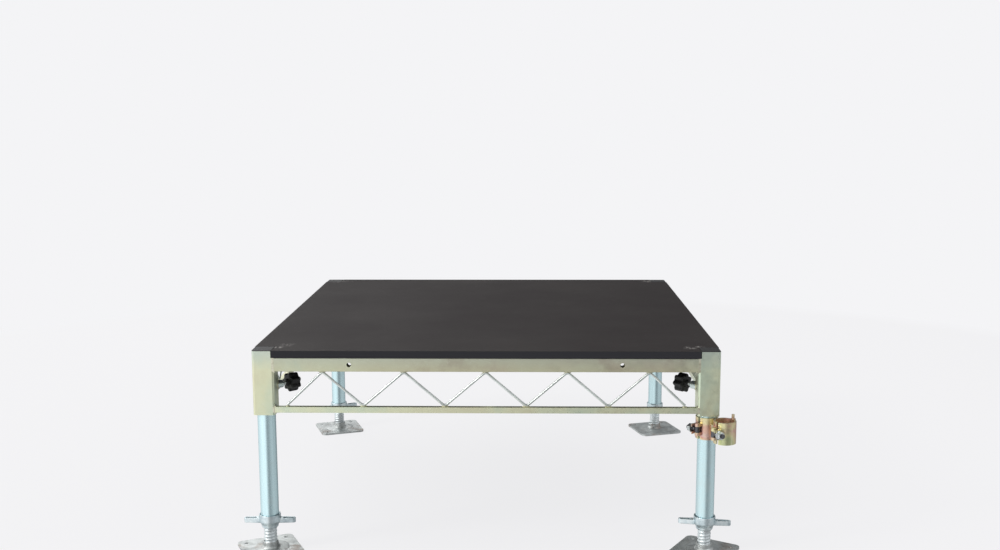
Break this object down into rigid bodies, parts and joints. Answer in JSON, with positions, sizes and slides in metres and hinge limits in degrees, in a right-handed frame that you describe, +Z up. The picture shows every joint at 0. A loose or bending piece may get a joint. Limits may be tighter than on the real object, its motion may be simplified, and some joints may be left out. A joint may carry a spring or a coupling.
{
  "type": "stage riser platform",
  "caption": "Square stage riser: plywood deck on a welded truss frame, clamped tube legs on screw jacks with base plates, and a tube coupler on the front right leg.",
  "frame": {"origin": "on the floor under the middle of the frame", "axes": "+X to the right seen from the front, +Y to the back, +Z up out of the deck"},
  "size_m": [1.3571, 1.3554, 0.552],
  "materials": {
    "yellow_zinc": "satin",
    "blue_zinc": "satin",
    "dull_zinc": "matte",
    "coupler_zinc": "satin",
    "deck_film": "satin",
    "black_plastic": "matte"
  },
  "bodies": {
    "frame": {"corner_post_fl": "yellow_zinc", "corner_plug_fl": "black_plastic", "lock_boss_fl": "blue_zinc", "corner_post_fr": "yellow_zinc", "corner_plug_fr": "black_plastic", "lock_boss_fr": "blue_zinc", "corner_post_bl": "yellow_zinc", "corner_plug_bl": "black_plastic", "lock_boss_bl": "blue_zinc", "corner_post_br": "yellow_zinc", "corner_plug_br": "black_plastic", "lock_boss_br": "blue_zinc", "top_rail_front": "yellow_zinc", "bottom_chord_front": "yellow_zinc", "truss_rod_front": "blue_zinc", "top_rail_right": "yellow_zinc", "bottom_chord_right": "yellow_zinc", "truss_rod_right": "blue_zinc", "top_rail_back": "yellow_zinc", "bottom_chord_back": "yellow_zinc", "truss_rod_back": "blue_zinc", "top_rail_left": "yellow_zinc", "bottom_chord_left": "yellow_zinc", "truss_rod_left": "blue_zinc", "deck_panel": "deck_film", "deck_stringer": "yellow_zinc"},
    "leg_fl": {"leg_tube_fl": "blue_zinc"},
    "nut_fl": {"jack_nut_fl": "blue_zinc"},
    "jack_fl": {"jack_stem_fl": "dull_zinc", "base_plate_fl": "dull_zinc"},
    "stud_fl": {"lock_stud_fl": "blue_zinc"},
    "knob_fl": {"lock_knob_fl": "black_plastic"},
    "leg_fr": {"leg_tube_fr": "blue_zinc"},
    "nut_fr": {"jack_nut_fr": "blue_zinc"},
    "jack_fr": {"jack_stem_fr": "dull_zinc", "base_plate_fr": "dull_zinc"},
    "stud_fr": {"lock_stud_fr": "blue_zinc"},
    "knob_fr": {"lock_knob_fr": "black_plastic"},
    "leg_bl": {"leg_tube_bl": "blue_zinc"},
    "nut_bl": {"jack_nut_bl": "blue_zinc"},
    "jack_bl": {"jack_stem_bl": "dull_zinc", "base_plate_bl": "dull_zinc"},
    "stud_bl": {"lock_stud_bl": "blue_zinc"},
    "knob_bl": {"lock_knob_bl": "black_plastic"},
    "leg_br": {"leg_tube_br": "blue_zinc"},
    "nut_br": {"jack_nut_br": "blue_zinc"},
    "jack_br": {"jack_stem_br": "dull_zinc", "base_plate_br": "dull_zinc"},
    "stud_br": {"lock_stud_br": "blue_zinc"},
    "knob_br": {"lock_knob_br": "black_plastic"},
    "coupler": {"coupler_leg_saddle": "coupler_zinc", "coupler_leg_flap": "coupler_zinc", "coupler_rivet": "coupler_zinc"},
    "coupler_arm": {"coupler_arm_saddle": "coupler_zinc", "coupler_arm_flap": "coupler_zinc"},
    "coupler_leg_bolt": {"coupler_leg_bolt": "dull_zinc"},
    "coupler_leg_nut": {"coupler_leg_nut": "dull_zinc"},
    "coupler_arm_bolt": {"coupler_arm_bolt": "dull_zinc"},
    "coupler_arm_nut": {"coupler_arm_nut": "dull_zinc"}
  },
  "joints": [
    {"name": "leg_slide_fl", "type": "slide", "parent": "frame", "child": "leg_fl", "axis": [0, 0, 1], "range_m": [-0.035, 0]},
    {"name": "nut_turn_fl", "type": "hinge", "parent": "leg_fl", "child": "nut_fl", "pos_m": [-0.58103, -0.58103, 0.083], "axis": [0, 0, 1], "range_deg": [-1483, 6353]},
    {"name": "jack_slide_fl", "type": "slide", "parent": "leg_fl", "child": "jack_fl", "axis": [0, 0, -1], "range_m": [-0.035, 0.15]},
    {"name": "stud_slide_fl", "type": "slide", "parent": "frame", "child": "stud_fl", "axis": [0.7071, 0.7071, 0], "range_m": [0, 0.00476]},
    {"name": "knob_turn_fl", "type": "hinge", "parent": "stud_fl", "child": "knob_fl", "pos_m": [-0.58103, -0.58103, 0.449], "axis": [0.7071, 0.7071, 0], "range_deg": [0, 1080]},
    {"name": "leg_slide_fr", "type": "slide", "parent": "frame", "child": "leg_fr", "axis": [0, 0, 1], "range_m": [-0.035, 0]},
    {"name": "nut_turn_fr", "type": "hinge", "parent": "leg_fr", "child": "nut_fr", "pos_m": [0.58103, -0.58103, 0.083], "axis": [0, 0, 1], "range_deg": [-1483, 6353]},
    {"name": "jack_slide_fr", "type": "slide", "parent": "leg_fr", "child": "jack_fr", "axis": [0, 0, -1], "range_m": [-0.035, 0.15]},
    {"name": "stud_slide_fr", "type": "slide", "parent": "frame", "child": "stud_fr", "axis": [-0.7071, 0.7071, 0], "range_m": [0, 0.00476]},
    {"name": "knob_turn_fr", "type": "hinge", "parent": "stud_fr", "child": "knob_fr", "pos_m": [0.58103, -0.58103, 0.449], "axis": [-0.7071, 0.7071, 0], "range_deg": [0, 1080]},
    {"name": "leg_slide_bl", "type": "slide", "parent": "frame", "child": "leg_bl", "axis": [0, 0, 1], "range_m": [-0.035, 0]},
    {"name": "nut_turn_bl", "type": "hinge", "parent": "leg_bl", "child": "nut_bl", "pos_m": [-0.58103, 0.58103, 0.083], "axis": [0, 0, 1], "range_deg": [-1483, 6353]},
    {"name": "jack_slide_bl", "type": "slide", "parent": "leg_bl", "child": "jack_bl", "axis": [0, 0, -1], "range_m": [-0.035, 0.15]},
    {"name": "stud_slide_bl", "type": "slide", "parent": "frame", "child": "stud_bl", "axis": [0.7071, -0.7071, 0], "range_m": [0, 0.00476]},
    {"name": "knob_turn_bl", "type": "hinge", "parent": "stud_bl", "child": "knob_bl", "pos_m": [-0.58103, 0.58103, 0.449], "axis": [0.7071, -0.7071, 0], "range_deg": [0, 1080]},
    {"name": "leg_slide_br", "type": "slide", "parent": "frame", "child": "leg_br", "axis": [0, 0, 1], "range_m": [-0.035, 0]},
    {"name": "nut_turn_br", "type": "hinge", "parent": "leg_br", "child": "nut_br", "pos_m": [0.58103, 0.58103, 0.083], "axis": [0, 0, 1], "range_deg": [-1483, 6353]},
    {"name": "jack_slide_br", "type": "slide", "parent": "leg_br", "child": "jack_br", "axis": [0, 0, -1], "range_m": [-0.035, 0.15]},
    {"name": "stud_slide_br", "type": "slide", "parent": "frame", "child": "stud_br", "axis": [-0.7071, -0.7071, 0], "range_m": [0, 0.00476]},
    {"name": "knob_turn_br", "type": "hinge", "parent": "stud_br", "child": "knob_br", "pos_m": [0.58103, 0.58103, 0.449], "axis": [-0.7071, -0.7071, 0], "range_deg": [0, 1080]},
    {"name": "coupler_turn", "type": "hinge", "parent": "leg_fr", "child": "coupler", "pos_m": [0.58103, -0.58103, 0.3445], "axis": [0, 0, 1], "continuous": true},
    {"name": "coupler_swivel", "type": "hinge", "parent": "coupler", "child": "coupler_arm", "pos_m": [0.60047, -0.60453, 0.3445], "axis": [0.6374, -0.7705, 0], "continuous": true},
    {"name": "leg_bolt_swing", "type": "hinge", "parent": "coupler", "child": "coupler_leg_bolt", "pos_m": [0.5525, -0.60852, 0.3445], "axis": [0, 0, 1], "range_deg": [0, 110]},
    {"name": "leg_nut_turn", "type": "hinge", "parent": "coupler_leg_bolt", "child": "coupler_leg_nut", "pos_m": [0.5381, -0.5911, 0.3445], "axis": [-0.6374, 0.7705, 0], "range_deg": [0, 180]},
    {"name": "arm_bolt_swing", "type": "hinge", "parent": "coupler_arm", "child": "coupler_arm_bolt", "pos_m": [0.58756, -0.65089, 0.3445], "axis": [0, 0, -1], "range_deg": [0, 110]},
    {"name": "arm_nut_turn", "type": "hinge", "parent": "coupler_arm_bolt", "child": "coupler_arm_nut", "pos_m": [0.60197, -0.66831, 0.3445], "axis": [0.6374, -0.7705, 0], "range_deg": [0, 180]}
  ],
  "couplings": [
    {"joint": "nut_turn_fl", "follows": "jack_slide_fl", "rad_per_m": 739.2},
    {"joint": "knob_turn_fl", "follows": "stud_slide_fl", "rad_per_m": 3957.9},
    {"joint": "nut_turn_fr", "follows": "jack_slide_fr", "rad_per_m": 739.2},
    {"joint": "knob_turn_fr", "follows": "stud_slide_fr", "rad_per_m": 3957.9},
    {"joint": "nut_turn_bl", "follows": "jack_slide_bl", "rad_per_m": 739.2},
    {"joint": "knob_turn_bl", "follows": "stud_slide_bl", "rad_per_m": 3957.9},
    {"joint": "nut_turn_br", "follows": "jack_slide_br", "rad_per_m": 739.2},
    {"joint": "knob_turn_br", "follows": "stud_slide_br", "rad_per_m": 3957.9}
  ]
}
